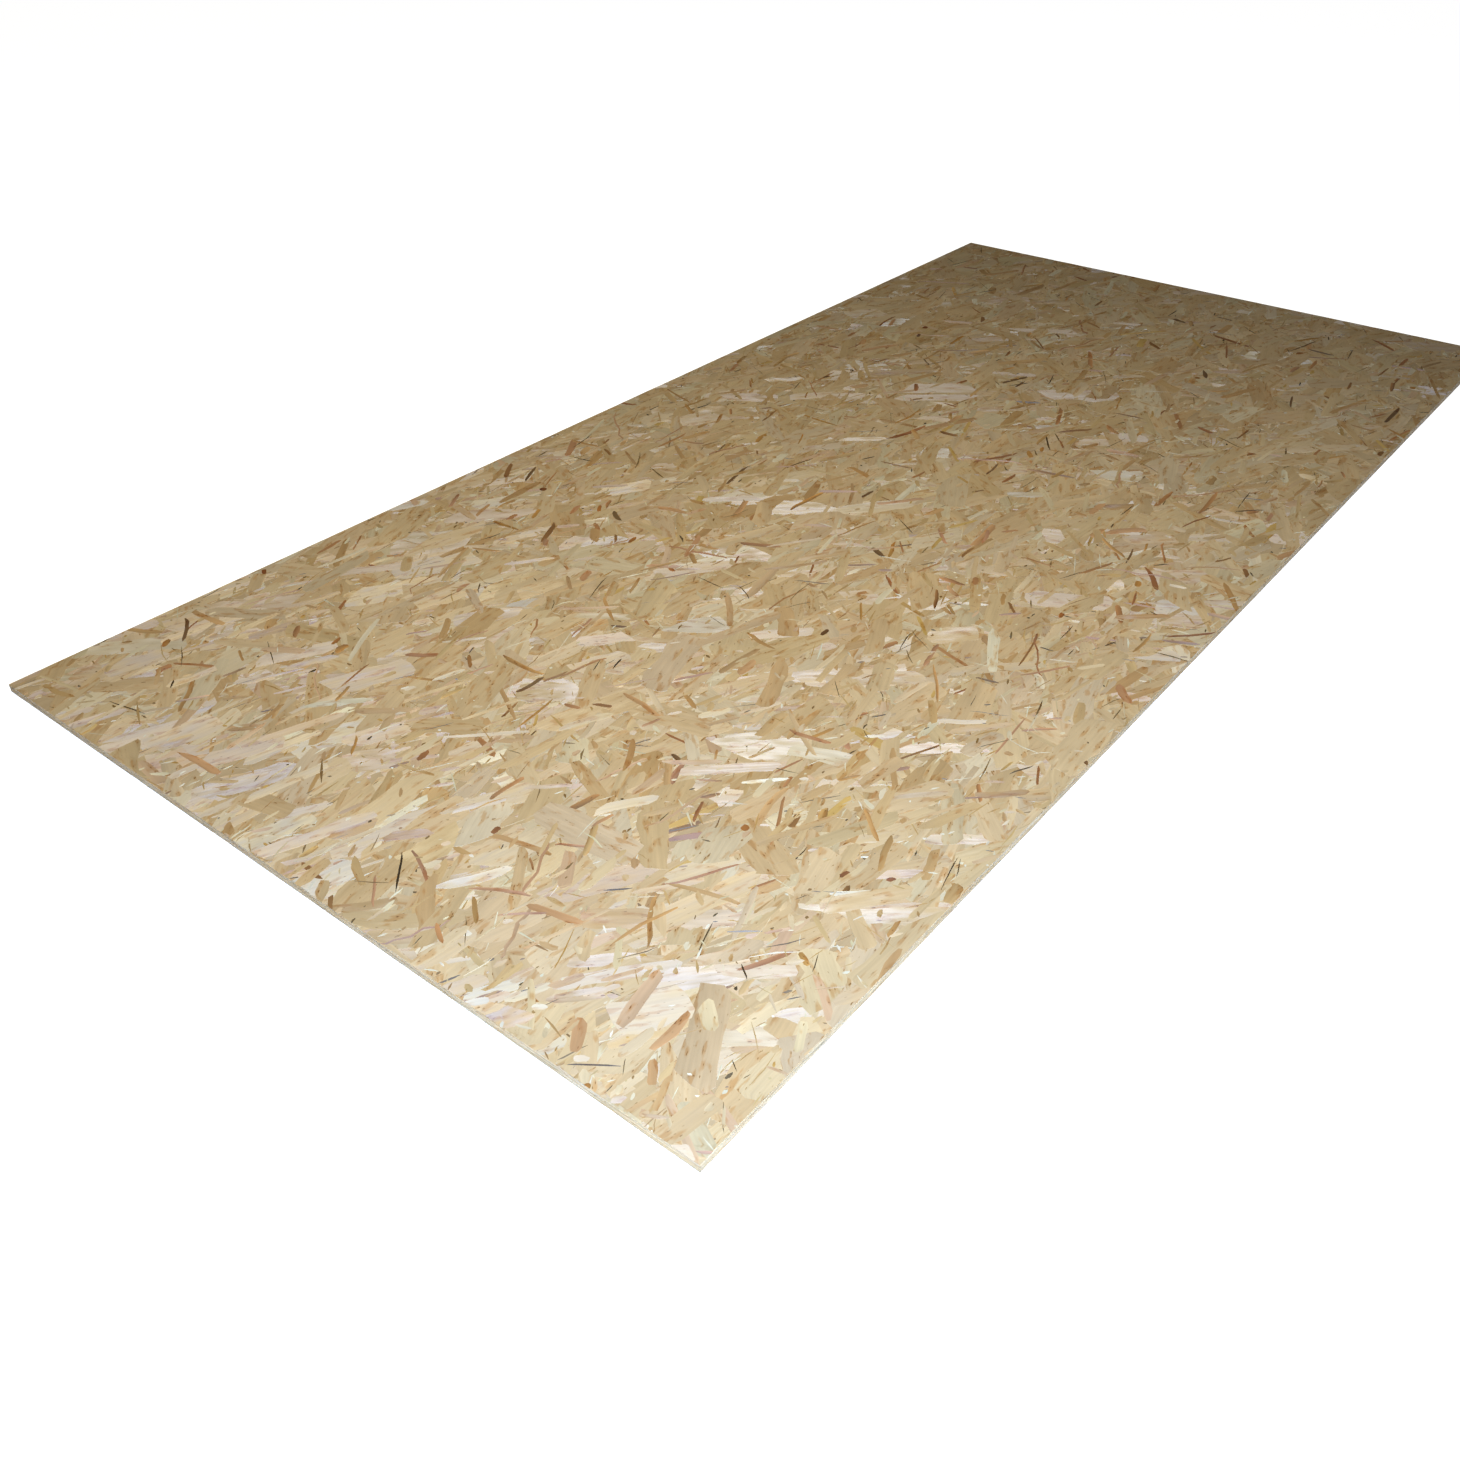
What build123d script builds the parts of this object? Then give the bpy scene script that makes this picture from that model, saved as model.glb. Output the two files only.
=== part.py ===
from build123d import *

import os

# OSB board: one flat sheet of oriented strand board, pressed in one piece and sawn to size.
# Millimetres, +Z up. The origin is the centre of the underside, X runs along the length
# and Y across the width. The edges are plain square saw cuts, with no tongue or groove.

# Driving dimensions
SHEET_LENGTH = 2440.0
SHEET_WIDTH = 1220.0
SHEET_THICKNESS = 12.0

# The arris where each broad face meets the sawn edges, rubbed off a little in handling
ARRIS = 0.5


# The sheet
with BuildPart() as osb_board:
    with BuildSketch(Plane.XY):
        Rectangle(SHEET_LENGTH, SHEET_WIDTH)
    extrude(amount=SHEET_THICKNESS)

    # Ease the outline of the underside and of the top face; the corners stay square in plan
    underside = osb_board.faces().sort_by(Axis.Z)[0]
    top_face = osb_board.faces().sort_by(Axis.Z)[-1]
    chamfer(underside.edges() + top_face.edges(), length=ARRIS)

osb_board.part.label = "osb_board"


# One file for each piece
os.makedirs("parts", exist_ok=True)
export_step(osb_board.part, "parts/osb_board.step")
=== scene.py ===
"""A sheet of oriented strand board: its pressed strands, its sawn edges and the studio around it.

Metres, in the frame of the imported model: the origin is the centre of the underside, X runs
along the sheet, Y across it and Z up through its thickness.
"""

import logging
import math
from dataclasses import dataclass, field, replace
from enum import Enum, IntEnum

import bpy
import numpy as np
from mathutils import Matrix, Vector


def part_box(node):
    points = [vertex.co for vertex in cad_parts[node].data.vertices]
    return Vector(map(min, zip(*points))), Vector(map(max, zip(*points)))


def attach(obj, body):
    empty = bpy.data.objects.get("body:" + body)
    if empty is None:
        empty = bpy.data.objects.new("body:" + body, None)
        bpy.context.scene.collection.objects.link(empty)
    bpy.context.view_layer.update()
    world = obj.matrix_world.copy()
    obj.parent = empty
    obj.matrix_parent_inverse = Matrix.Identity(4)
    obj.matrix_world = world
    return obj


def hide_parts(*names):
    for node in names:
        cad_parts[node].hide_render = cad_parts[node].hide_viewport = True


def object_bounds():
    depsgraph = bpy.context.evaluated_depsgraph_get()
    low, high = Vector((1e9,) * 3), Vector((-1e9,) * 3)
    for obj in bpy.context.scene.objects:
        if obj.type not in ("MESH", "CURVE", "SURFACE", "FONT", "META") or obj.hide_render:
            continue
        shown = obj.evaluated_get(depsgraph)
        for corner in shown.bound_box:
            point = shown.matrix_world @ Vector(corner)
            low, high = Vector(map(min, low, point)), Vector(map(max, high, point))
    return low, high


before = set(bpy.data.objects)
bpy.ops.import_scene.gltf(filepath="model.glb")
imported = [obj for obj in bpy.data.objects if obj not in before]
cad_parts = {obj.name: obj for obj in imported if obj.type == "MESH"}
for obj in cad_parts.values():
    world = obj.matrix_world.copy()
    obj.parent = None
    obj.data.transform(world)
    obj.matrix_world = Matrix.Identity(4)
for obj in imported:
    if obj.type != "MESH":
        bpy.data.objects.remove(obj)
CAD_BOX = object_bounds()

NODE = "osb_board"
BODY = "root"
MM = 0.001
TINY = 1e-6         # keeps a division from a divisor of zero
FOLD_AREA = 1e-9    # square metres of turned-over face that make an outline count as folded
NOISE_MIDDLE = 0.5  # the value about which a noise swings
PER_STATION = 4     # vertices at each station of a strand: two sides on top and two below

Pair = tuple[float, float]
Triple = tuple[float, float, float]

log = logging.getLogger("osb_board")


def linear(colour: str) -> np.ndarray:
    """Turns an sRGB hex colour into linear red, green and blue.

    Args:
        colour: the colour as "#RRGGBB".

    Returns:
        Three linear values from 0 to 1.
    """
    srgb = np.array([int(colour[i:i + 2], 16) for i in (1, 3, 5)]) / 255
    return np.where(srgb <= 0.04045, srgb / 12.92, ((srgb + 0.055) / 1.055) ** 2.4)


def add_node(tree: bpy.types.NodeTree, kind: str, inputs: dict, **settings) -> bpy.types.Node:
    """Adds a node, sets its properties and fills or links its inputs.

    Args:
        tree: the node tree that gets the node.
        kind: Blender's name for the node, such as "ShaderNodeMath".
        inputs: a value or an output socket for each input, by name or number.
        settings: the node's own properties.

    Returns:
        The new node.
    """
    node = tree.nodes.new(kind)
    for name, value in settings.items():
        setattr(node, name, value)
    for name, value in inputs.items():
        if isinstance(value, bpy.types.NodeSocket):
            tree.links.new(value, node.inputs[name])
        else:
            node.inputs[name].default_value = value
    return node


def compute(tree: bpy.types.NodeTree, operation: str,
            *terms: bpy.types.NodeSocket | float | Triple,
            vector: bool = False) -> bpy.types.NodeSocket:
    """Adds a math node that works on the terms and gives the socket of its result."""
    kind = "ShaderNodeVectorMath" if vector else "ShaderNodeMath"
    return add_node(tree, kind, dict(enumerate(terms)), operation=operation).outputs[0]


def mix(tree: bpy.types.NodeTree, share: bpy.types.NodeSocket,
        one: bpy.types.NodeSocket | str, two: bpy.types.NodeSocket | str,
        blend: str = "MIX") -> bpy.types.NodeSocket:
    """Adds a node that mixes two colours, each a hex colour or a socket, and gives its result."""
    one, two = ((*linear(tone), 1) if isinstance(tone, str) else tone for tone in (one, two))
    return add_node(tree, "ShaderNodeMix", {0: share, 6: one, 7: two}, data_type="RGBA",
                    blend_type=blend).outputs[2]


def new_material(name: str) -> tuple[bpy.types.Material, bpy.types.NodeTree]:
    """Makes a node material and gives it with its node tree."""
    material = bpy.data.materials.new(name)
    material.use_nodes = True
    return material, material.node_tree


def add_object(name: str, data: bpy.types.ID) -> bpy.types.Object:
    """Puts a mesh, lamp or camera into the scene as an object at the origin."""
    made = bpy.data.objects.new(name, data)
    bpy.context.scene.collection.objects.link(made)
    return made


class Attribute(str, Enum):
    """What each vertex of a strand carries for the finish to read."""

    COLOUR = "strand_colour"
    GRAIN = "grain_place"
    ACROSS = "across_fibre"
    GLOSS = "strand_gloss"
    DIVE = "fibre_dive"


class Role(IntEnum):
    """Which part of a strand a face is, in the order in which faces are listed."""

    BOTTOM = 0
    RIM = 1
    TOP = 2


@dataclass(frozen=True)
class Pattern:
    """A noise drawn out along the fibre: its size across and along it, octaves and place.

    The shift moves each pattern elsewhere in the noise, so that no two look alike.
    """

    width: float
    length: float
    detail: float
    shift: float

    def noise(self, tree: bpy.types.NodeTree,
              place: bpy.types.NodeSocket) -> bpy.types.NodeSocket:
        """Adds the pattern's nodes.

        Args:
            tree: the material's node tree.
            place: the socket with metres across and along the fibre and the strand's number.

        Returns:
            The socket with values from 0 to 1.
        """
        scaled = compute(tree, "MULTIPLY_ADD", place, (1 / self.width, 1 / self.length, 1),
                         (self.shift, self.shift, self.shift), vector=True)
        return add_node(tree, "ShaderNodeTexNoise",
                        {"Vector": scaled, "Scale": 1.0, "Detail": self.detail}).outputs[0]


@dataclass(frozen=True)
class StrandFinish:
    """Softwood strands pressed hot with resin and wax.

    Sheared fibres lie flat and shine across their own direction, so a strand that lies across
    the line of sight turns white while its neighbour stays beige. Growth rings, fibres and
    pores run along each strand. Real fibres are a few hundredths of a millimetre wide, and
    are drawn as coarse as they have to be to show. Depths are swings of lightness, heights are
    metres of bump, and ranges are the values over which a stain, fleck or sheen sets in.
    """

    rings: Pattern = Pattern(3.2 * MM, 90 * MM, 1.0, 11.0)
    ring_depth: float = 0.12
    fibres: Pattern = Pattern(0.9 * MM, 30 * MM, 2.0, 23.0)
    fibre_depth: float = 0.055
    fibre_height: float = 0.02 * MM
    blotches: Pattern = Pattern(14 * MM, 40 * MM, 1.0, 37.0)
    blotch_depth: float = 0.12
    waves: Pattern = Pattern(8 * MM, 26 * MM, 1.0, 53.0)
    wave_height: float = 0.35 * MM
    stains: Pattern = Pattern(9 * MM, 30 * MM, 2.0, 71.0)
    stain_range: Pair = (0.54, 0.68)
    stain: str = "#EFDCC6"
    flecks: Pattern = Pattern(1.6 * MM, 6 * MM, 0.0, 89.0)
    fleck_range: Pair = (1.06, 1.18)
    fleck_cluster: float = 0.6
    fleck: str = "#BAA27F"
    sheen: Pattern = Pattern(3.4 * MM, 50 * MM, 1.0, 97.0)
    sheen_range: Pair = (0.66, 0.90)
    gloss_share: float = 0.5
    dull: float = 0.88
    glossy: float = 0.52
    swirl: float = 0.6
    anisotropy: float = 1.0
    ior: float = 1.65
    specular: float = 1.0

    def material(self) -> bpy.types.Material:
        """Builds the finish as a node material.

        Returns:
            The material, which reads the attributes of the strands.
        """
        material, tree = new_material("pressed_softwood_strands")
        shader = tree.nodes["Principled BSDF"]
        sockets = zip(Attribute, ("Color", "Vector", "Vector", "Fac", "Fac"))
        colour, where, across, gloss, dive = (
            add_node(tree, "ShaderNodeAttribute", {}, attribute_name=name.value).outputs[socket]
            for name, socket in sockets)
        fibres = self.fibres.noise(tree, where)
        blotches = self.blotches.noise(tree, where)

        # The colour is the strand's own times one plus each pattern's swing about its middle
        shade = 1.0
        for pattern, depth in ((self.rings.noise(tree, where), self.ring_depth),
                               (fibres, self.fibre_depth), (blotches, self.blotch_depth)):
            swing = compute(tree, "SUBTRACT", pattern, NOISE_MIDDLE)
            shade = compute(tree, "MULTIPLY_ADD", swing, 2 * depth, shade)
        tinted = compute(tree, "MULTIPLY", colour, shade, vector=True)

        # Resin stains and brown flecks of bark lie where their own noises are high
        stains = self.stains.noise(tree, where)
        flecks = compute(tree, "MULTIPLY_ADD", stains, self.fleck_cluster,
                         self.flecks.noise(tree, where))
        for pattern, (low, high), tint in ((stains, self.stain_range, self.stain),
                                           (flecks, self.fleck_range, self.fleck)):
            cover = add_node(tree, "ShaderNodeMapRange", {0: pattern, 1: low, 2: high},
                             interpolation_type="SMOOTHSTEP")
            tinted = mix(tree, cover.outputs[0], tinted, tint, blend="MULTIPLY")
        tree.links.new(tinted, shader.inputs["Base Color"])

        # Sheen comes in streaks: over all of a glossy strand and here and there on a dull one
        sheen = compute(tree, "MULTIPLY_ADD", gloss, self.gloss_share,
                        self.sheen.noise(tree, where))
        low, high = self.sheen_range
        rough = add_node(tree, "ShaderNodeMapRange",
                         {0: sheen, 1: low, 2: high, 3: self.dull, 4: self.glossy},
                         interpolation_type="SMOOTHSTEP")
        tree.links.new(rough.outputs[0], shader.inputs["Roughness"])

        # The fibres meet the face at the strand's own slope: height is dive times the run
        run = add_node(tree, "ShaderNodeSeparateXYZ", {0: where}).outputs["Y"]
        slope = compute(tree, "MULTIPLY", dive, run)
        below = {}
        for height, distance in ((slope, 1.0), (self.waves.noise(tree, where), self.wave_height),
                                 (fibres, self.fibre_height)):
            bump = add_node(tree, "ShaderNodeBump",
                            {"Height": height, "Distance": distance, "Strength": 1.0, **below})
            below = {"Normal": bump.outputs[0]}
        tree.links.new(bump.outputs[0], shader.inputs["Normal"])

        # The grain swirls: the direction across the fibre leans along it by a slow noise
        normal = add_node(tree, "ShaderNodeNewGeometry", {}).outputs["Normal"]
        along = compute(tree, "CROSS_PRODUCT", normal, across, vector=True)
        swing = compute(tree, "SUBTRACT", blotches, NOISE_MIDDLE)
        lean = compute(tree, "MULTIPLY", swing, self.swirl)
        turned = compute(tree, "MULTIPLY_ADD", along, lean, across, vector=True)
        tree.links.new(turned, shader.inputs["Tangent"])
        shader.inputs["Anisotropic"].default_value = self.anisotropy
        shader.inputs["IOR"].default_value = self.ior
        shader.inputs["Specular IOR Level"].default_value = self.specular
        return material


@dataclass(frozen=True)
class StrandKind:
    """One sort of strand: how many there are, their sizes, how they lie and their colours.

    Lengths and widths are metres, from the least to the most. Stations are the cross lines of
    an outline. Pile is where in the stack they lie, from 0, at the bottom, to 1. Tones are
    colours with their weights. Spread is in degrees about the side's length, and stray is the
    share that lie any way. Bow and kink are shares of the length. Taper, ends, ragged and slant
    are shares of the width. Shade and tint are the swing of a strand's lightness and hue about
    its tone, and fade is the swing of the change from side to side and from end to end. Dive is
    the swing of the slope at which the fibres run into the strand's face. Gloss is below 0 for
    strands so full of resin that they hardly shine.
    """

    name: str
    per_m2: float
    length: Pair
    width: Pair
    stations: int
    pile: Pair
    tones: tuple[tuple[str, float], ...]
    shade: float = 0.035
    tint: float = 0.010
    fade: float = 0.05
    spread: float = 30.0
    stray: float = 0.18
    bow: float = 0.015
    kink: float = 0.0
    taper: float = 0.12
    ends: Pair = (0.15, 1.0)
    ragged: float = 0.10
    slant: float = 0.9
    dive: float = 0.05
    gloss: Pair = (0.0, 1.0)

    def colours(self, count: int, rng: np.random.Generator) -> np.ndarray:
        """Draws colours of strands: a tone for each, fading from side to side and end to end.

        Args:
            count: how many strands there are.
            rng: the seeded source of random numbers.

        Returns:
            Linear colours, as (n, stations, 2 sides, 3).
        """
        tones = np.array([linear(tone) for tone, _ in self.tones])
        weight = np.array([share for _, share in self.tones], float)
        tone = tones[rng.choice(len(tones), count, p=weight / weight.sum())]
        tone = tone * np.exp(rng.normal(0, self.shade, (count, 1)))
        tone = tone * np.exp(rng.normal(0, self.tint, (count, 3)))
        sidewise, lengthwise = np.array([-1, 1]), np.linspace(-1, 1, self.stations)[:, None]
        fading = (rng.normal(0, self.fade, (count, 1, 1)) * sidewise
                  + rng.normal(0, self.fade, (count, 1, 1)) * lengthwise)
        return tone[:, None, None] * np.exp(fading)[..., None]


FLAKE_TONES = (
    ("#D2B382", 30), ("#D5B888", 22), ("#CEAE7C", 16), ("#D1B78E", 10), ("#D5B78A", 9),
    ("#D3BD92", 8), ("#C8A470", 3), ("#DBC59C", 4), ("#CCA66E", 1), ("#C6A678", 1),
)
STRAND_TONES = (
    ("#D2B382", 24), ("#D8BE90", 18), ("#CAA873", 16), ("#D1B78E", 9), ("#D1AE84", 10),
    ("#E0CFA8", 7), ("#C29A64", 8), ("#BC9561", 5), ("#B69162", 2), ("#CCA65E", 2),
)
ACCENT_TONES = (
    ("#B88C54", 22), ("#AF7C4C", 18), ("#A06A3E", 13), ("#B78544", 11), ("#C09A5C", 12),
    ("#92673A", 11), ("#B88962", 6), ("#785A38", 7),
)
HEARTWOOD_TONES = (
    ("#C69866", 5), ("#CAA068", 6), ("#C19D66", 6), ("#BF8D60", 4), ("#B6915C", 3),
)
SPLINTER_TONES = (("#BD9068", 5), ("#B28058", 4), ("#A6724A", 3), ("#C49D74", 3))
# The palest sliver tones are partly pale wood and partly painted glints: thin streaks of highlight
SLIVER_AND_GLINT_TONES = (
    ("#D4BC8E", 20), ("#DECFA9", 16), ("#C4A268", 18), ("#B6915A", 15), ("#E6DCBE", 8),
    ("#A37C50", 6), ("#BB8E4C", 5), ("#876A40", 5), ("#665234", 2),
)
# The palest chip tones are partly pale wood and partly painted glints: small white specks of
# highlight
CHIP_AND_GLINT_TONES = (
    ("#DCCB9E", 24), ("#E8DEC0", 16), ("#BC9B64", 20), ("#A57E4C", 10), ("#C49A54", 8),
    ("#866638", 9), ("#5A4A30", 8), ("#C9B180", 10),
)
KNOT_TONES = (("#9F652E", 5), ("#885228", 4), ("#B17C3C", 4), ("#6A4826", 3))
# Painted shade: dark tones for thin laminae laid on top where voids between strands lie in shade
VOID_SHADE_TONES = (("#584426", 5), ("#725A34", 5), ("#3C2C18", 3))
# Painted shade: darker tones for thin laminae standing in for shaded voids between the edge's
# layers
GAP_SHADE_TONES = (("#A8906A", 5), ("#BCA47C", 5), ("#7E6848", 2))

TOP_KINDS = (
    StrandKind("flake", 1150, (0.065, 0.145), (0.016, 0.052), 7, (0.0, 0.90), FLAKE_TONES,
               shade=0.025, tint=0.007, ragged=0.13),
    StrandKind("strand", 850, (0.035, 0.110), (0.005, 0.018), 5, (0.1, 1.0), STRAND_TONES,
               shade=0.03, bow=0.02),
    StrandKind("bit", 1100, (0.008, 0.026), (0.003, 0.009), 4, (0.45, 1.0), STRAND_TONES,
               shade=0.04, spread=36, taper=0.4, ends=(0.1, 0.9), ragged=0.2, slant=1.2),
    StrandKind("accent", 170, (0.020, 0.090), (0.0028, 0.0095), 5, (0.7, 1.0), ACCENT_TONES,
               shade=0.07, tint=0.012, fade=0.16, spread=40, stray=0.3, bow=0.02, kink=0.012,
               taper=0.4, ends=(0.1, 0.9), slant=1.3, gloss=(-0.7, 0.1)),
    StrandKind("splinter", 12, (0.050, 0.130), (0.0022, 0.0048), 8, (0.85, 1.0), SPLINTER_TONES,
               shade=0.06, fade=0.10, spread=45, stray=0.4, bow=0.05, kink=0.022, taper=0.5,
               ends=(0.2, 0.9), ragged=0.15, gloss=(-0.7, 0.1)),
    StrandKind("sliver", 1300, (0.010, 0.060), (0.0010, 0.0034), 3, (0.4, 1.0), SLIVER_AND_GLINT_TONES,
               shade=0.05, tint=0.015, spread=36, bow=0.03, taper=0.4, ends=(0.05, 0.7),
               ragged=0.2, slant=1.5),
    StrandKind("chip", 1300, (0.0025, 0.012), (0.0014, 0.0045), 3, (0.5, 1.0), CHIP_AND_GLINT_TONES,
               shade=0.08, tint=0.015, spread=45, taper=0.3, ends=(0.2, 0.9), ragged=0.2),
    StrandKind("knot", 9, (0.010, 0.024), (0.006, 0.013), 6, (0.85, 1.0), KNOT_TONES,
               shade=0.10, tint=0.015, fade=0.18, taper=0.7, ends=(0.1, 0.4), slant=0.3,
               gloss=(-0.7, 0.1)),
    # Painted shade: these dark slits stand in for the shade inside voids between strands
    StrandKind("shaded_void_slit", 100, (0.008, 0.070), (0.0007, 0.0030), 4, (0.8, 1.0), VOID_SHADE_TONES,
               shade=0.12, spread=42, kink=0.012, taper=0.5, ends=(0.05, 0.6), ragged=0.3,
               slant=1.5, gloss=(-0.9, -0.5)),
    StrandKind("heartwood", 26, (0.030, 0.085), (0.007, 0.014), 5, (0.85, 1.0), HEARTWOOD_TONES,
               shade=0.04, tint=0.008, fade=0.12, spread=36, stray=0.25, bow=0.02, kink=0.008,
               taper=0.2, ends=(0.3, 1.0), ragged=0.12, slant=1.0, gloss=(-0.7, 0.1)),
)
UNDER_SHARE = 0.62
UNDER_KINDS = tuple(replace(kind, per_m2=UNDER_SHARE * kind.per_m2) for kind in TOP_KINDS)

EDGE_TONES = (
    ("#E0C08D", 26), ("#E4C797", 24), ("#D9B883", 20), ("#E9D0A6", 12), ("#D2AF7A", 12),
    ("#CDA76F", 6),
)
EDGE_KINDS = (
    StrandKind("layer", 28000, (0.025, 0.110), (0.0008, 0.0018), 4, (0.0, 0.9), EDGE_TONES,
               shade=0.07, spread=0.25, stray=0.0, bow=0.004, taper=0.5, ends=(0.1, 0.5),
               slant=3.0),
    StrandKind("end", 18000, (0.008, 0.030), (0.0005, 0.0011), 3, (0.2, 1.0), EDGE_TONES,
               shade=0.08, spread=0.6, stray=0.0, bow=0.01, taper=0.5, ends=(0.2, 0.8),
               slant=1.5),
    # Painted shade: these darker lines stand in for shade in the gaps between the sawn layers
    StrandKind("shaded_gap", 2200, (0.004, 0.022), (0.0003, 0.0008), 3, (0.8, 1.0), GAP_SHADE_TONES,
               shade=0.10, spread=0.8, stray=0.0, bow=0.01, taper=0.6, ends=(0.1, 0.5),
               slant=1.5, gloss=(0.0, 0.1)),
)


@dataclass(frozen=True)
class Plane:
    """A flat side of the sheet, with its own two directions and its outward normal."""

    name: str
    middle: Triple
    along: Triple
    across: Triple
    size: Pair

    def places(self, flat: np.ndarray, height: np.ndarray) -> np.ndarray:
        """Gives middle plus along times u plus across times v plus the outward normal times height.

        Args:
            flat: places on the side, as (..., 2) metres along and across.
            height: metres outwards from the side, as (...).

        Returns:
            Places in the sheet's frame, as (..., 3).
        """
        along, across = np.array(self.along), np.array(self.across)
        outward = np.cross(along, across)
        return (np.array(self.middle) + flat[..., :1] * along + flat[..., 1:] * across
                + height[..., None] * outward)

    def directions(self, flat: np.ndarray) -> np.ndarray:
        """Turns directions on the side, as (..., 2), into the sheet's frame, as (..., 3)."""
        return flat[..., :1] * np.array(self.along) + flat[..., 1:] * np.array(self.across)


@dataclass
class Lines:
    """The middle lines of strands on one side, one row for each strand.

    Centre and ahead are middles and directions along the fibre, as (n, 2). Length and width are
    those of the whole strand. Start and end are how far its two ends lie from the middle once
    it is cut off at the side's outline.
    """

    centre: np.ndarray
    ahead: np.ndarray
    length: np.ndarray
    width: np.ndarray
    start: np.ndarray
    end: np.ndarray

    @property
    def side(self) -> np.ndarray:
        """Gives the directions across the fibre, a quarter turn to the left, as (n, 2)."""
        return np.stack([-self.ahead[:, 1], self.ahead[:, 0]], axis=1)


@dataclass
class Strands:
    """The strands of one kind on one side, one row for each strand.

    Outline, grain and colour are given for each station and side. Rank is the order of laying.
    Cells are those under a strand's sample points, and inner is true for a point well inside
    it. Level is the height in the stack. Shown is false for a strand that is folded or covered.
    """

    kind: StrandKind
    outline: np.ndarray
    grain: np.ndarray
    across: np.ndarray
    colour: np.ndarray
    gloss: np.ndarray
    dive: np.ndarray
    centre: np.ndarray
    rank: np.ndarray
    cells: np.ndarray
    inner: np.ndarray
    level: np.ndarray
    shown: np.ndarray


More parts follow.
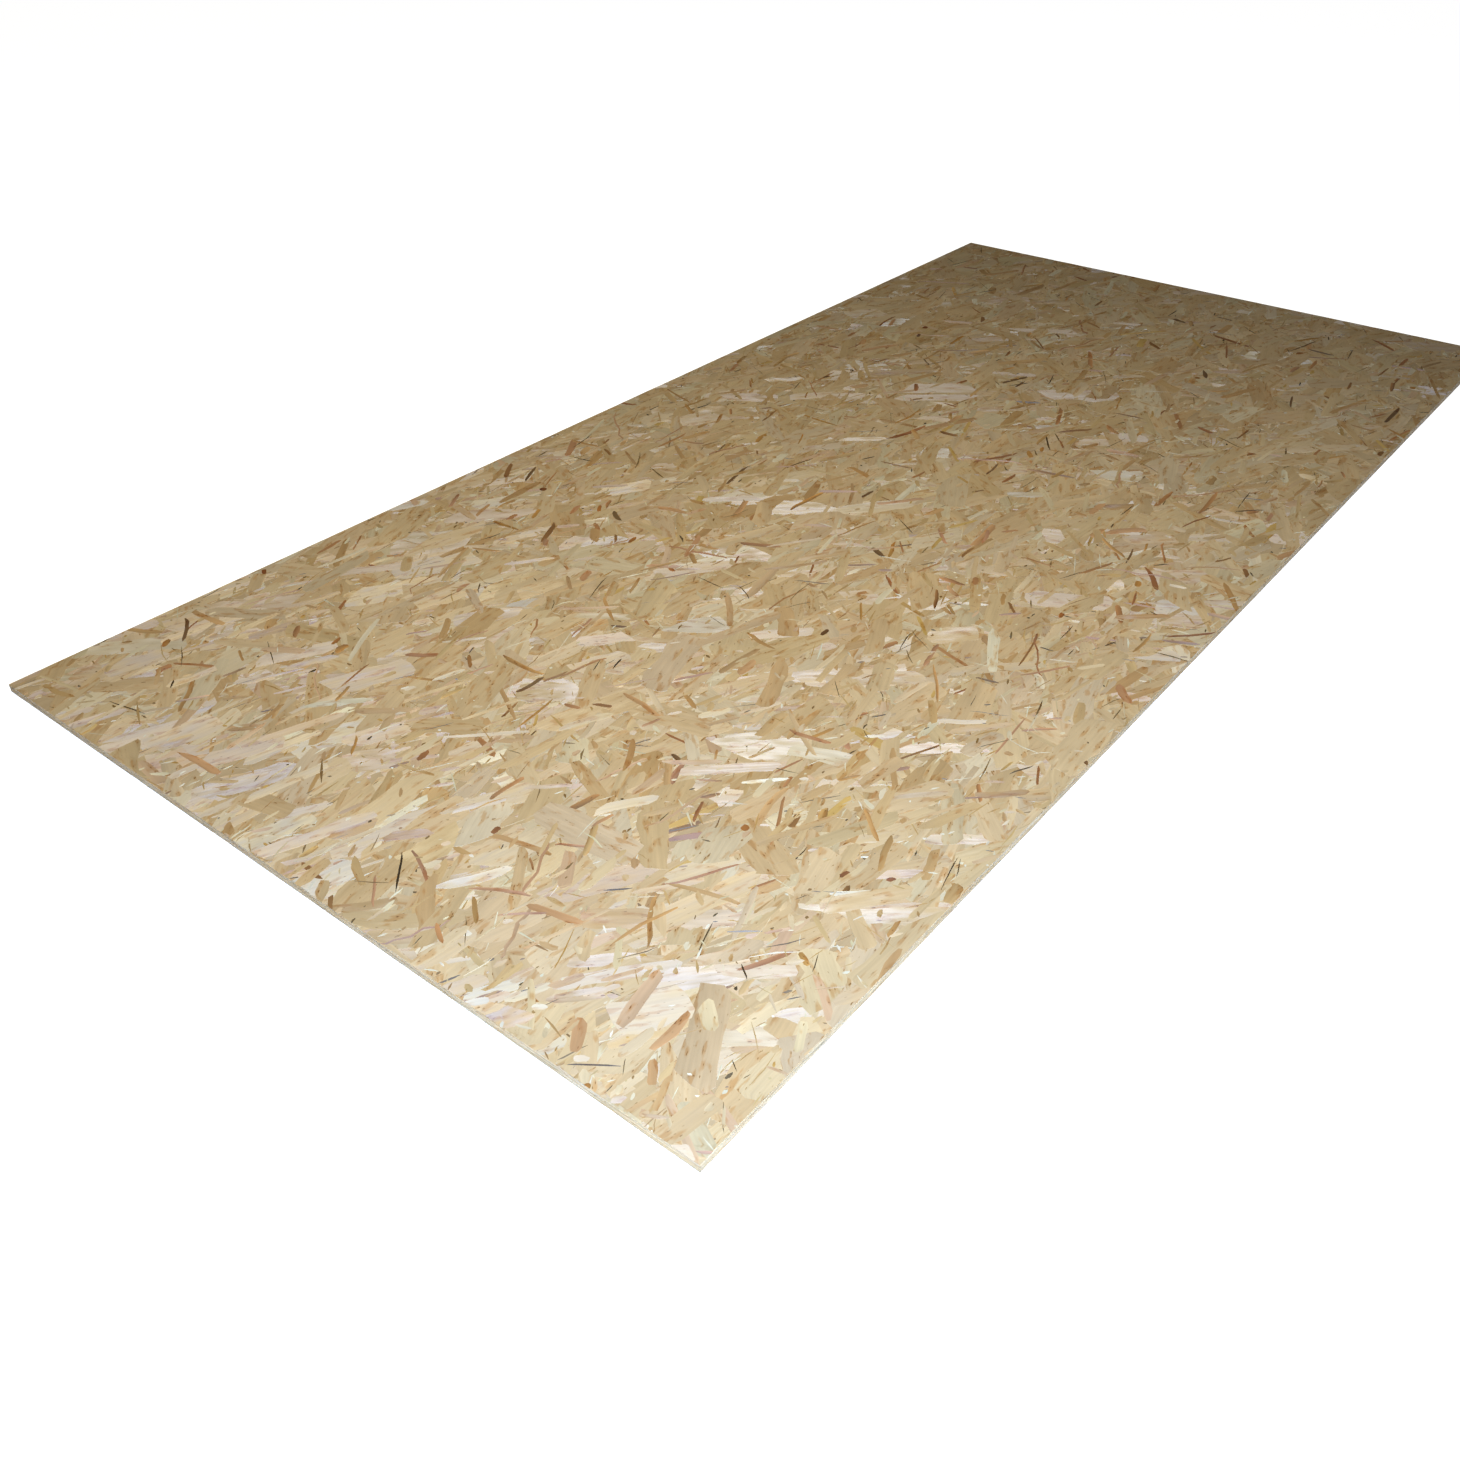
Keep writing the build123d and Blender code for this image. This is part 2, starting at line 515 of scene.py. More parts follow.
@dataclass
class StrandBed:
    """The strands pressed into one flat side of the sheet, cut off flush at its outline.

    Each strand is a thin closed lamina. They are laid one after another, and each lies one step
    higher than the highest that it covers. Relief is the height of the whole stack, and flare
    is how much wider a lamina is at its bottom. Outlines stay back from the side's own by the
    arris, and bottoms by half of it. By its cells, a strand finds what it covers. Cell is their
    size, and tiles is how many pieces the side is divided into. Strands are drawn up to a
    margin outside the side, and stay if the least share of their length is on it. Uneven is how
    far stations stray, in steps. Least taper, slant swing and slant limit are shares of the
    kind's taper, its slant and the strand's length. Grain numbers set the strands' patterns
    apart, and lift is the most that a level is raised, in steps.
    """

    plane: Plane
    kinds: tuple[StrandKind, ...]
    seed: int
    relief: float = 0.50 * MM
    thickness: float = 0.35 * MM
    flare: float = 0.20 * MM
    arris: float = 0.30 * MM
    cell: Pair = (4.0 * MM, 4.0 * MM)
    margin: Pair = (40 * MM, 40 * MM)
    tiles: tuple[int, int] = (5, 3)
    least_share: float = 0.25
    uneven: float = 0.2
    least_taper: float = 0.3
    slant_swing: float = 0.7
    slant_limit: float = 0.7
    grain_numbers: float = 400.0
    lift: float = 0.9

    def trimmed(self, centre: np.ndarray, ahead: np.ndarray, length: np.ndarray,
                width: np.ndarray) -> tuple[np.ndarray, np.ndarray]:
        """Finds where each strand's middle line enters and leaves the side.

        The side is widened by half the strand's width, so that a strand that the cut runs along
        keeps its whole length.

        Args:
            centre: middles, as (n, 2).
            ahead: directions along the fibre, as (n, 2).
            length: lengths, as (n,).
            width: widths, as (n,).

        Returns:
            The distances from the middle of each strand's two ends.
        """
        half = np.array(self.plane.size) / 2 + width[:, None] / 2
        slope = np.where(np.abs(ahead) < TINY, TINY, ahead)
        one, two = (-half - centre) / slope, (half - centre) / slope
        enter = np.minimum(one, two).max(axis=1)
        leave = np.maximum(one, two).min(axis=1)
        return np.maximum(-length / 2, enter), np.minimum(length / 2, leave)

    def outlines(self, kind: StrandKind, lines: Lines,
                 rng: np.random.Generator) -> tuple[np.ndarray, np.ndarray]:
        """Works out each strand's outline in its own directions.

        Stations run from end to end, closer near the ends: share = (1 - cos(pi t)) / 2. The
        width at a station is the strand's own, less taper times the cube of the share from the
        middle, times a ragged swing. The middle line bows by bow times length times
        (1 - the share from the middle squared), and kinks at each station. Each end leans by
        slant times the offset from the middle line, and the lean fades out towards the middle.

        Args:
            kind: the sort of strand.
            lines: the strands' middle lines.
            rng: the seeded source of random numbers.

        Returns:
            Distances along the fibre and across it, each as (n, stations, 2 sides).
        """
        count, stations = len(lines.length), kind.stations
        width, cut = lines.width[:, None], (lines.end - lines.start)[:, None]
        share = (1 - np.cos(np.pi * np.linspace(0, 1, stations))) / 2 + np.zeros((count, 1))
        share[:, 1:-1] += rng.uniform(-self.uneven, self.uneven, (count, stations - 2)) / stations
        out = 2 * share - 1
        narrow = 1 - kind.taper * rng.uniform(self.least_taper, 1, (count, 1)) * np.abs(out) ** 3
        swing = 1 + kind.ragged * rng.normal(0, 1, (count, stations, 2))
        swing[:, [0, -1]] *= rng.uniform(*kind.ends, (count, 2, 2))
        middle = kind.bow * rng.normal(0, 1, (count, 1)) * (1 - out ** 2)
        middle = middle + kind.kink * rng.normal(0, 1, (count, stations))
        offset = np.array([-0.5, 0.5]) * narrow[..., None] * swing
        sway = (middle * lines.length[:, None])[..., None] + offset * width[..., None]
        run = lines.start[:, None] + share * cut
        slant = kind.slant * rng.normal(0, self.slant_swing, (count, 2)) * width
        slant = np.clip(slant, -self.slant_limit * cut, self.slant_limit * cut)
        lean = slant[:, :1] * np.maximum(0, -out) + slant[:, 1:] * np.maximum(0, out)
        return run[..., None] + lean[..., None] * offset, sway

    def draw(self, kind: StrandKind, rng: np.random.Generator) -> Strands:
        """Draws every strand of one kind at random.

        Args:
            kind: the sort of strand.
            rng: the seeded source of random numbers.

        Returns:
            The strands with their outlines on the plane, not yet stacked.
        """
        size = np.array(self.plane.size)
        reach = size + 2 * np.minimum(self.margin, kind.length[1] / 2)
        count = int(round(kind.per_m2 * reach.prod()))
        centre = (rng.random((count, 2)) - 0.5) * reach
        turn = np.radians(np.where(rng.random(count) < kind.stray, rng.uniform(-90, 90, count),
                                   rng.normal(0, kind.spread, count)))
        ahead = np.stack([np.cos(turn), np.sin(turn)], axis=1)
        length = np.exp(rng.uniform(*np.log(kind.length), count))
        width = np.exp(rng.uniform(*np.log(kind.width), count))
        start, end = self.trimmed(centre, ahead, length, width)
        kept = end - start > self.least_share * length
        lines = Lines(*(values[kept] for values in (centre, ahead, length, width, start, end)))
        count = len(lines.length)

        stretch, sway = self.outlines(kind, lines, rng)
        outline = (lines.centre[:, None, None] + stretch[..., None] * lines.ahead[:, None, None]
                   + sway[..., None] * lines.side[:, None, None])
        outline = np.clip(outline, self.arris - size / 2, size / 2 - self.arris)
        whole = ~folded(outline)
        number = rng.uniform(0, self.grain_numbers, count)
        grain = np.stack([sway, stretch, np.broadcast_to(number[:, None, None], sway.shape)], -1)
        colour = kind.colours(count, rng)

        # Gloss is squared with its sign kept, so that only a few strands shine all over
        gloss = rng.uniform(*kind.gloss, count)
        cells, inner = self.covering(lines)
        return Strands(
            kind=kind, outline=outline, grain=grain, across=lines.side, colour=colour,
            gloss=gloss * np.abs(gloss), dive=rng.normal(0, kind.dive, count),
            centre=outline.mean(axis=(1, 2)), rank=rng.uniform(*kind.pile, count),
            cells=cells, inner=inner, level=np.zeros(count), shown=whole)

    def covering(self, lines: Lines) -> tuple[np.ndarray, np.ndarray]:
        """Finds the cells of the side that each strand lies over.

        Args:
            lines: the strands' middle lines.

        Returns:
            The cell number under each of a strand's sample points, and whether that point is a
            cell or more inside the strand.
        """
        start, end, width = lines.start[:, None], lines.end[:, None], lines.width[:, None]
        along, over = (int(np.ceil(high / step)) + 1
                       for high, step in zip(((end - start).max(), width.max()), self.cell))
        lengthwise = (np.arange(along) + 0.5) / along
        sidewise = (np.arange(over) + 0.5) / over - 0.5
        run = start + lengthwise * (end - start)
        sway = sidewise * width
        spot = (lines.centre[:, None, None] + run[:, :, None, None] * lines.ahead[:, None, None]
                + sway[:, None, :, None] * lines.side[:, None, None])
        columns, rows = self.grid_size()
        place = np.floor((spot + np.array(self.plane.size) / 2) / self.cell).astype(int)
        place = np.clip(place, 0, (columns - 1, rows - 1))
        deep_run = np.minimum(run - start, end - run) > self.cell[0]
        deep_sway = width / 2 - np.abs(sway) > self.cell[1]
        inner = deep_run[:, :, None] & deep_sway[:, None, :]
        return ((place[..., 0] * rows + place[..., 1]).reshape(len(width), -1),
                inner.reshape(len(width), -1))

    def grid_size(self) -> tuple[int, int]:
        """Gives how many cells the side is divided into, along and across."""
        return tuple(int(np.ceil(extent / step))
                     for extent, step in zip(self.plane.size, self.cell))

    def stack(self, groups: list[Strands], rng: np.random.Generator) -> int:
        """Lays the strands in the order of their rank and marks those that nothing shows of.

        Each level is raised by a random part of a step, so that no two tops lie in one plane.

        Args:
            groups: the strands of each kind, whose level and shown are filled in.
            rng: the seeded source of random numbers.

        Returns:
            The highest level.
        """
        columns, rows = self.grid_size()
        owner = np.concatenate([np.full(len(g.rank), i) for i, g in enumerate(groups)])
        row = np.concatenate([np.arange(len(g.rank)) for g in groups])
        order = np.argsort(np.concatenate([g.rank for g in groups]), kind="stable")
        top = np.zeros(columns * rows, np.int32)
        raised = [rng.uniform(0, self.lift, len(g.rank)) for g in groups]
        for i, j in zip(owner[order], row[order]):
            if groups[i].shown[j]:
                cells = groups[i].cells[j]
                level = top[cells].max() + 1
                top[cells] = level
                groups[i].level[j] = level + raised[i][j]
        covered = np.zeros(columns * rows, bool)
        for i, j in zip(owner[order[::-1]], row[order[::-1]]):
            if groups[i].shown[j]:
                cells = groups[i].cells[j]
                groups[i].shown[j] = not covered[cells].all()
                covered[cells[groups[i].inner[j]]] = True
        return int(top.max()) + 1

    def laminae(self, group: Strands, highest: int) -> dict[str, np.ndarray]:
        """Turns outlines into thin closed solids: a top, a bottom a little wider, and a rim.

        Vertices run station by station, with the two sides of the top first and then those of
        the bottom. Each face has four corners. A face's order is twice its role plus its
        strand's level as a share of the highest.

        Args:
            group: stacked strands of one kind.
            highest: the highest level on this side.

        Returns:
            Arrays for the vertices and the faces, in the order of the strands.
        """
        stations, shown = group.kind.stations, group.shown
        outline = group.outline[shown]
        count = len(outline)
        top = -self.relief * (1 - group.level[shown] / highest)
        away = outline - group.centre[shown][:, None, None]
        away = away / np.maximum(np.linalg.norm(away, axis=-1, keepdims=True), TINY)
        edge = np.array(self.plane.size) / 2 - self.arris / 2
        flared = np.clip(outline + away * self.flare, -edge, edge)
        flat = np.stack([outline, flared], axis=2)
        height = np.stack([top, top - self.thickness], axis=1)
        height = np.broadcast_to(height[:, None, :, None], flat.shape[:-1])
        quads, role = lamina_faces(stations)
        vertices = stations * PER_STATION
        quads = quads + (np.arange(count) * vertices)[:, None, None]

        columns, rows = self.tiles
        spot = (group.centre[shown] / np.array(self.plane.size) + 0.5) * (columns, rows)
        spot = np.clip(np.floor(spot).astype(int), 0, (columns - 1, rows - 1))
        tile = spot[:, 0] * rows + spot[:, 1]
        return {
            "place": self.plane.places(flat, height).reshape(-1, 3),
            "flat": flat.reshape(-1, 2),
            "grain": np.repeat(group.grain[shown][:, :, None], 2, axis=2).reshape(-1, 3),
            "colour": np.repeat(group.colour[shown][:, :, None], 2, axis=2).reshape(-1, 3),
            "across": np.repeat(self.plane.directions(group.across[shown]), vertices, axis=0),
            "gloss": np.repeat(group.gloss[shown], vertices),
            "dive": np.repeat(group.dive[shown], vertices),
            "quads": quads.reshape(-1, 4),
            "order": 2 * np.tile(role, count) + np.repeat(group.level[shown] / highest, len(role)),
            "tile": np.repeat(tile, len(role)),
        }

    def build(self, material: bpy.types.Material) -> None:
        """Draws, stacks and meshes the strands, as one object for each tile of the side.

        Args:
            material: the finish that every strand wears.
        """
        rng = np.random.default_rng(self.seed)
        groups = [self.draw(kind, rng) for kind in self.kinds]
        highest = self.stack(groups, rng)
        parts = [self.laminae(group, highest) for group in groups]
        first = np.cumsum([0] + [len(part["place"]) for part in parts])
        for part, offset in zip(parts, first):
            part["quads"] = part["quads"] + offset
        joined = {name: np.concatenate([part[name] for part in parts]) for name in parts[0]}
        count = self.tiles[0] * self.tiles[1]
        for tile in range(count):
            name = self.plane.name if count == 1 else f"{self.plane.name}_{tile + 1:02d}"
            tile_object(name, joined, joined["tile"] == tile, material)
        log.info("%s: %d strands, %d levels, %d triangles in %d pieces", self.plane.name,
                 sum(int(group.shown.sum()) for group in groups), highest,
                 2 * len(joined["quads"]), count)


def folded(outline: np.ndarray) -> np.ndarray:
    """Finds the strands whose outline crosses itself, by the turning of each face's corners.

    Args:
        outline: outlines, as (n, stations, 2 sides, 2).

    Returns:
        True for each strand that has a face turned over, as (n,).
    """
    corners = np.stack([outline[:, :-1, 0], outline[:, 1:, 0], outline[:, 1:, 1],
                        outline[:, :-1, 1]], axis=2)
    sides = np.roll(corners, -1, axis=2) - corners
    ahead = np.roll(sides, -1, axis=2)
    turning = sides[..., 0] * ahead[..., 1] - sides[..., 1] * ahead[..., 0]
    return (turning < -FOLD_AREA).any(axis=(1, 2))


def lamina_faces(stations: int) -> tuple[np.ndarray, np.ndarray]:
    """Lists the four-cornered faces of one closed lamina.

    Args:
        stations: how many stations its outline has.

    Returns:
        Vertex numbers as (faces, 4), facing outwards, and each face's role.
    """
    here = np.arange(stations - 1) * PER_STATION
    there = here + PER_STATION
    first, last = here[:1], there[-1:]
    top_left, top_right, low_left, low_right = 0, 1, 2, 3
    faces = (
        (Role.BOTTOM, (here + low_left, here + low_right, there + low_right, there + low_left)),
        (Role.RIM, (here + low_left, there + low_left, there + top_left, here + top_left)),
        (Role.RIM, (there + low_right, here + low_right, here + top_right, there + top_right)),
        (Role.RIM, (first + low_right, first + low_left, first + top_left, first + top_right)),
        (Role.RIM, (last + low_left, last + low_right, last + top_right, last + top_left)),
        (Role.TOP, (here + top_left, there + top_left, there + top_right, here + top_right)),
    )
    quads = np.concatenate([np.stack(corners, axis=1) for _, corners in faces])
    role = np.concatenate([np.full(len(corners[0]), int(role)) for role, corners in faces])
    return quads, role


def tile_object(name: str, joined: dict[str, np.ndarray], chosen: np.ndarray,
                material: bpy.types.Material) -> None:
    """Makes one object from the chosen faces, with its map from above and its attributes.

    Bottoms come first, then rims, and then tops from low to high.

    Args:
        name: the piece's name.
        joined: the vertex and face arrays of a whole side.
        chosen: which faces belong to this piece.
        material: its finish.
    """
    quads = joined["quads"][chosen]
    quads = quads[np.argsort(joined["order"][chosen], kind="stable")]
    used, corners = np.unique(quads, return_inverse=True)
    corners = corners.reshape(-1)
    mesh = bpy.data.meshes.new(name)
    mesh.vertices.add(len(used))
    mesh.vertices.foreach_set("co", joined["place"][used].astype(np.float32).ravel())
    mesh.loops.add(len(corners))
    mesh.loops.foreach_set("vertex_index", corners.astype(np.int32))
    mesh.polygons.add(len(quads))
    mesh.polygons.foreach_set("loop_start", np.arange(0, len(corners), 4, dtype=np.int32))
    mesh.polygons.foreach_set("loop_total", np.full(len(quads), 4, np.int32))
    mesh.polygons.foreach_set("use_smooth", np.zeros(len(quads), bool))
    mesh.update(calc_edges=True)

    flat = joined["flat"][used]
    low, high = flat.min(axis=0), flat.max(axis=0)
    layer = mesh.uv_layers.new(name="OFBake")
    layer.data.foreach_set("uv", ((flat - low) / (high - low))[corners].astype(np.float32).ravel())

    colour = np.ones((len(used), 4), np.float32)
    colour[:, :3] = joined["colour"][used]
    for attribute, kind, channel, values in (
            (Attribute.COLOUR, "FLOAT_COLOR", "color", colour),
            (Attribute.GRAIN, "FLOAT_VECTOR", "vector", joined["grain"][used]),
            (Attribute.ACROSS, "FLOAT_VECTOR", "vector", joined["across"][used]),
            (Attribute.GLOSS, "FLOAT", "value", joined["gloss"][used]),
            (Attribute.DIVE, "FLOAT", "value", joined["dive"][used])):
        made = mesh.attributes.new(attribute.value, kind, "POINT")
        made.data.foreach_set(channel, values.astype(np.float32).ravel())
    mesh.materials.append(material)
    piece = add_object(name, mesh)
    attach(piece, BODY)


@dataclass(frozen=True)
class MatFinish:
    """The inside of the pressed mat, seen only in the gaps between its outer strands.

    It is the same wood a strand or two further down, browned by the resin, and its deep tone is
    darker partly as painted shade of the gaps.
    """

    # The deep tone holds painted shade as well as the resin's browning
    shaded_deep: str = "#A98C62"
    high: str = "#D2B688"
    strand_width: float = 12 * MM
    strand_length: float = 60 * MM
    detail: float = 3.0
    roughness: float = 0.75

    def material(self) -> bpy.types.Material:
        """Builds the finish as a node material on Object coordinates.

        Returns:
            The material, whose tone changes from strand to strand.
        """
        material, tree = new_material("resin_browned_shaded_mat")
        shader = tree.nodes["Principled BSDF"]
        place = add_node(tree, "ShaderNodeTexCoord", {}).outputs["Object"]
        scale = (1 / self.strand_length, 1 / self.strand_width, 1 / self.strand_width)
        scaled = compute(tree, "MULTIPLY", place, scale, vector=True)
        strands = add_node(tree, "ShaderNodeTexNoise",
                           {"Vector": scaled, "Scale": 1.0, "Detail": self.detail})
        # Painted shade: the deep tone darkens the mat in the gaps, partly for shade and partly for
        # resin
        tone = mix(tree, strands.outputs[0], self.shaded_deep, self.high)
        tree.links.new(tone, shader.inputs["Base Color"])
        shader.inputs["Roughness"].default_value = self.roughness
        return material


@dataclass
class StrandBoard:
    """The whole sheet: the mat, the strand beds on its broad faces and its four sawn edges.

    The mat lies a depth below the broad faces and an inset inside the edges, and it sags by up
    to the sag. Pitch is the size of its faces. The edges' strands lie flatter and in finer cells
    than those of the broad faces.
    """

    finish: StrandFinish = field(default_factory=StrandFinish)
    mat_finish: MatFinish = field(default_factory=MatFinish)
    depth: float = 0.50 * MM
    inset: float = 0.25 * MM
    sag: float = 0.30 * MM
    pitch: float = 30 * MM
    edge_relief: float = 0.20 * MM
    edge_thickness: float = 0.15 * MM
    edge_flare: float = 0.05 * MM
    edge_cell: Pair = (4.0 * MM, 0.25 * MM)
    edge_margin: Pair = (40 * MM, 0.3 * MM)
    face_seed: int = 20
    edge_seed: int = 40

    def mat(self) -> None:
        """Makes the mat between the outer strands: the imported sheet, drawn in on every side.

        Its broad faces sag by sag times the mean of one and sin(5 u + 3 sin(7 v)) times
        sin(4 v + 2 sin(9 u)), with u and v in tenths of a metre.
        """
        low, high = (np.array(corner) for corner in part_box(NODE))
        low, high = low + (self.inset, self.inset, 0), high - (self.inset, self.inset, 0)
        columns, rows = (int(round(extent / self.pitch)) + 1 for extent in (high - low)[:2])
        x, y = np.meshgrid(np.linspace(low[0], high[0], columns),
                           np.linspace(low[1], high[1], rows), indexing="ij")
        u, v = x * 10, y * 10
        wave = np.sin(5 * u + 3 * np.sin(7 * v)) * np.sin(4 * v + 2 * np.sin(9 * u))
        dip = self.depth + self.sag * (1 + wave) / 2
        top = np.stack([x, y, high[2] - dip], axis=-1).reshape(-1, 3)
        under = np.stack([x, y, low[2] + dip], axis=-1).reshape(-1, 3)
        number = np.arange(columns * rows).reshape(columns, rows)
        quads = np.stack([number[:-1, :-1], number[1:, :-1], number[1:, 1:], number[:-1, 1:]],
                         axis=-1).reshape(-1, 4)
        rim = np.concatenate([number[:-1, 0], number[-1, :-1], number[:0:-1, -1], number[0, :0:-1]])
        ahead = np.roll(rim, -1)
        walls = np.stack([rim + number.size, ahead + number.size, ahead, rim], axis=-1)
        faces = np.concatenate([quads, quads[:, ::-1] + number.size, walls])
        mesh = bpy.data.meshes.new("strand_mat")
        mesh.from_pydata(np.concatenate([top, under]).tolist(), [], faces.tolist())
        mesh.materials.append(self.mat_finish.material())
        mat = add_object("strand_mat", mesh)
        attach(mat, BODY)
        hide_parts(NODE)
        log.info("strand_mat: %d faces", len(faces))

    def sides(self) -> tuple[list[Plane], list[Plane]]:
        """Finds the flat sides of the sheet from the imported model's own box.

        Returns:
            The two broad faces and the four sawn edges.
        """
        low, high = (np.array(corner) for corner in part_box(NODE))
        length, width, thickness = high - low
        x, y, z = (low + high) / 2
        up = (0, 0, 1)
        faces = [
            Plane("strands_top", (x, y, high[2]), (1, 0, 0), (0, 1, 0), (length, width)),
            Plane("strands_under", (x, y, low[2]), (1, 0, 0), (0, -1, 0), (length, width)),
        ]
        edges = [
            Plane("long_edge_near", (x, low[1], z), (1, 0, 0), up, (length, thickness)),
            Plane("long_edge_far", (x, high[1], z), (-1, 0, 0), up, (length, thickness)),
            Plane("short_edge_near", (low[0], y, z), (0, -1, 0), up, (width, thickness)),
            Plane("short_edge_far", (high[0], y, z), (0, 1, 0), up, (width, thickness)),
        ]
        return faces, edges

    def build(self) -> None:
        """Builds every piece of the sheet."""
        self.mat()
        material = self.finish.material()
        faces, edges = self.sides()
        for seed, (plane, kinds) in enumerate(zip(faces, (TOP_KINDS, UNDER_KINDS)), self.face_seed):
            StrandBed(plane, kinds, seed=seed).build(material)
        for seed, plane in enumerate(edges, self.edge_seed):
            StrandBed(plane, EDGE_KINDS, seed=seed, relief=self.edge_relief,
                      thickness=self.edge_thickness, flare=self.edge_flare,
                      cell=self.edge_cell, margin=self.edge_margin, tiles=(1, 1)).build(material)


@dataclass(frozen=True)
class Lamp:
    """A soft square lamp: its place, where it aims, its side in metres, its watts and its tint.

    Mirrored is false for a lamp that no surface shows in its reflections.
    """

    name: str
    place: Triple
    aim: Triple
    size: float
    power: float
    tint: str
    mirrored: bool = True

    def hang(self) -> None:
        """Puts the lamp into the scene, out of the camera's sight."""
        light = bpy.data.lights.new(self.name, "AREA")
        light.shape = "SQUARE"
        light.size = self.size
        light.energy = self.power
        light.color = linear(self.tint)
        lamp = add_object(self.name, light)
        lamp.visible_camera = False
        lamp.visible_glossy = self.mirrored
        turn = (Vector(self.aim) - Vector(self.place)).to_track_quat("-Z", "Y")
        lamp.matrix_world = Matrix.Translation(self.place) @ turn.to_matrix().to_4x4()


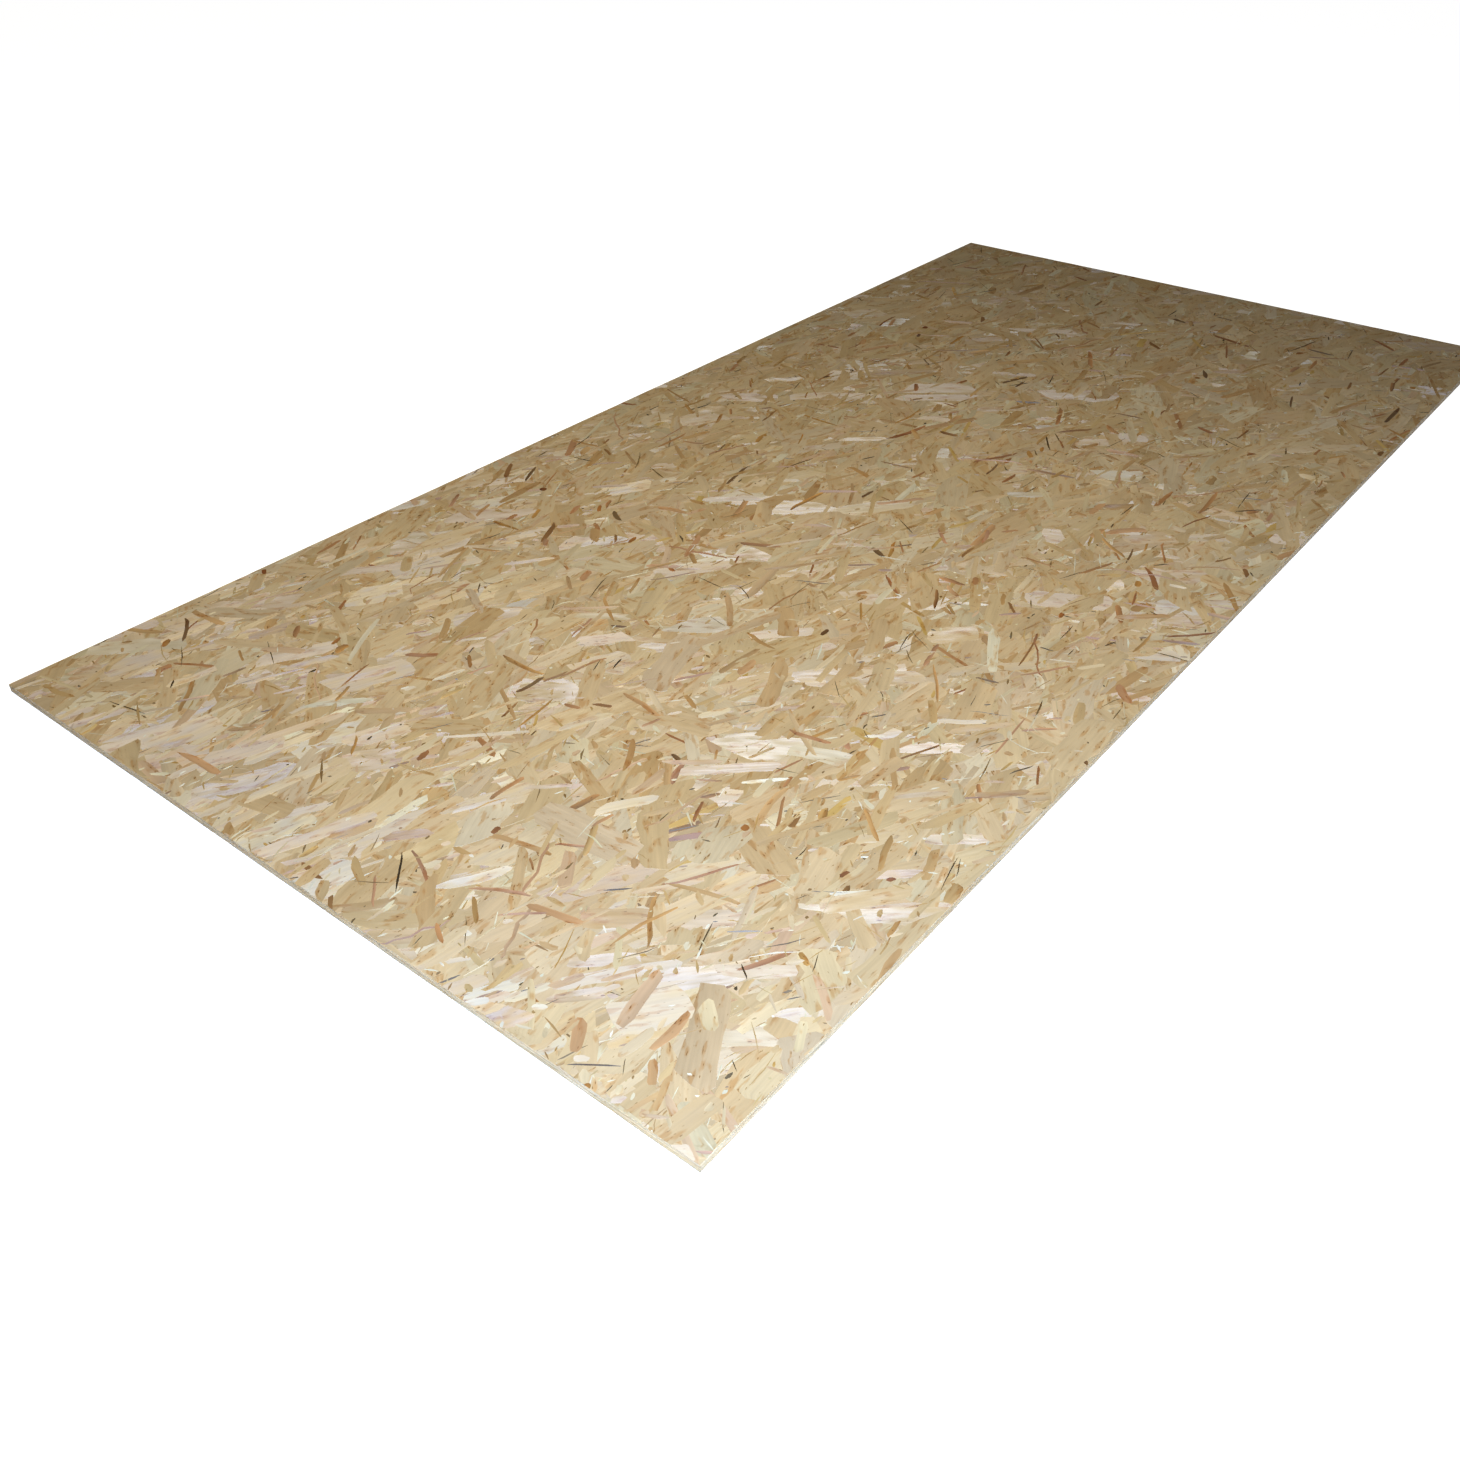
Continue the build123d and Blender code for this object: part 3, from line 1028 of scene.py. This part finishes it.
@dataclass(frozen=True)
class Studio:
    """A pale floor, a white surround, a dim ceiling, three soft lamps and the camera.

    A warm lamp hangs over the near end, and cool window light comes in low from the near
    corner. The low lamp, behind the far corner, lights only the edges that are turned away.
    The camera's focal length and middle are pixels of the photograph's frame, and its angles
    are degrees. Lengths are metres.
    """

    image_px: float = 1460
    sensor: float = 36.0
    focal_px: float = 1337.5
    middle_px: float = 774
    eye: Triple = (-1.7372, -1.1116, 1.0170)
    heading: float = 38.62
    pitch: float = 36.49
    roll: float = -0.57
    clip: Pair = (0.01, 100)
    lamps: tuple[Lamp, ...] = (
        Lamp("overhead_lamp", (-0.62, -0.43, 2.07), (-0.92, -0.13, 1.07), 0.6, 30.0, "#F8ECC5"),
        Lamp("window_light", (-2.0, -1.5, 0.95), (-0.6, -0.9, 0.0), 0.7, 80.0, "#AACAFF"),
        Lamp("low_lamp", (2.5, 1.9, 0.10), CAD_BOX[1], 0.15, 26.0, "#F8ECC5", mirrored=False),
    )
    room_light: float = 0.030
    room_tint: str = "#FFEBC8"
    floor_size: float = 30.0
    floor_gap: float = 0.5 * MM
    floor_tone: float = 0.8
    floor_glow: float = 0.97
    ceiling_size: float = 120.0
    ceiling_height: float = 3.0

    def camera(self) -> None:
        """Places the camera as the photograph was taken, from its heading, pitch and roll."""
        heading, pitch, roll = (math.radians(a) for a in (self.heading, self.pitch, self.roll))
        ahead = Vector((math.cos(pitch) * math.cos(heading), math.cos(pitch) * math.sin(heading),
                        -math.sin(pitch)))
        level = Vector((math.sin(heading), -math.cos(heading), 0))
        raised = level.cross(ahead)
        right = level * math.cos(roll) + raised * math.sin(roll)
        up = right.cross(ahead)
        lens = bpy.data.cameras.new("camera")
        lens.sensor_width = self.sensor
        lens.lens = self.sensor * self.focal_px / self.image_px
        lens.shift_x = (self.image_px / 2 - self.middle_px) / self.image_px
        lens.clip_start, lens.clip_end = self.clip
        camera = add_object("camera", lens)
        axes = Matrix((right, up, -ahead)).transposed().to_4x4()
        camera.matrix_world = Matrix.Translation(self.eye) @ axes
        bpy.context.scene.camera = camera

    def background_rays(self, tree: bpy.types.NodeTree) -> bpy.types.NodeSocket:
        """Adds a socket that is 1 for camera, glossy and transmission rays and 0 for others."""
        path = add_node(tree, "ShaderNodeLightPath", {}).outputs
        mirrored = compute(tree, "MAXIMUM", path["Is Glossy Ray"], path["Is Transmission Ray"])
        return compute(tree, "MAXIMUM", path["Is Camera Ray"], mirrored)

    def surround(self) -> None:
        """Makes the world a white background that lights the sheet only dimly."""
        world = bpy.data.worlds.new("white_surround")
        world.use_nodes = True
        tree = world.node_tree
        seen = self.background_rays(tree)
        level = add_node(tree, "ShaderNodeMapRange", {0: seen, 3: self.room_light, 4: 1.0})
        tint = mix(tree, seen, self.room_tint, "#FFFFFF")
        background = tree.nodes["Background"]
        tree.links.new(tint, background.inputs["Color"])
        tree.links.new(level.outputs[0], background.inputs["Strength"])
        bpy.context.scene.world = world

    def level_sheet(self, name: str, size: float, height: float,
                    material: bpy.types.Material) -> bpy.types.Object:
        """Lays a level square that isn't part of the board.

        Args:
            name: its name.
            size: its side in metres.
            height: its height in metres.
            material: its finish.

        Returns:
            The staged object.
        """
        half = size / 2
        mesh = bpy.data.meshes.new(name)
        mesh.from_pydata([(-half, -half, height), (half, -half, height), (half, half, height),
                          (-half, half, height)], [], [(0, 1, 2, 3)])
        mesh.materials.append(material)
        sheet = add_object(name, mesh)
        return sheet

    def floor_paint(self) -> bpy.types.Material:
        """Builds matt white floor paint, which looks white and still takes the sheet's shadow."""
        material, tree = new_material("white_floor_paint")
        tree.nodes.remove(tree.nodes["Principled BSDF"])
        tone = (self.floor_tone, self.floor_tone, self.floor_tone, 1)
        paint = add_node(tree, "ShaderNodeBsdfDiffuse", {"Color": tone})
        glow = add_node(tree, "ShaderNodeEmission", {"Strength": self.floor_glow})
        both = add_node(tree, "ShaderNodeAddShader", {0: paint.outputs[0], 1: glow.outputs[0]})
        surface = add_node(tree, "ShaderNodeMixShader",
                           {0: self.background_rays(tree), 1: paint.outputs[0],
                            2: both.outputs[0]})
        tree.links.new(surface.outputs[0], tree.nodes["Material Output"].inputs["Surface"])
        return material

    def ceiling_paint(self) -> bpy.types.Material:
        """Builds the dim warm tone of a ceiling that only the room's own light reaches."""
        material, tree = new_material("dim_ceiling_paint")
        tree.nodes.remove(tree.nodes["Principled BSDF"])
        glow = add_node(tree, "ShaderNodeEmission",
                        {"Color": (*linear(self.room_tint), 1), "Strength": self.room_light})
        tree.links.new(glow.outputs[0], tree.nodes["Material Output"].inputs["Surface"])
        return material

    def build(self) -> None:
        """Sets the camera, the lamps, the surround, the floor and the ceiling.

        The dim ceiling is out of every picture. The wood mirrors it, and so keeps its own dark
        tone towards the far end, as in the photograph.
        """
        self.camera()
        for lamp in self.lamps:
            lamp.hang()
        self.surround()
        self.level_sheet("floor", self.floor_size, -self.floor_gap, self.floor_paint())
        ceiling = self.level_sheet("ceiling", self.ceiling_size, self.ceiling_height,
                                   self.ceiling_paint())
        ceiling.visible_camera = False
        bpy.context.scene.view_settings.view_transform = "Standard"


def main() -> None:
    """Builds the sheet and the studio."""
    logging.basicConfig(level=logging.INFO, format="%(name)s: %(message)s")
    StrandBoard().build()
    Studio().build()


if __name__ == "__main__":
    main()
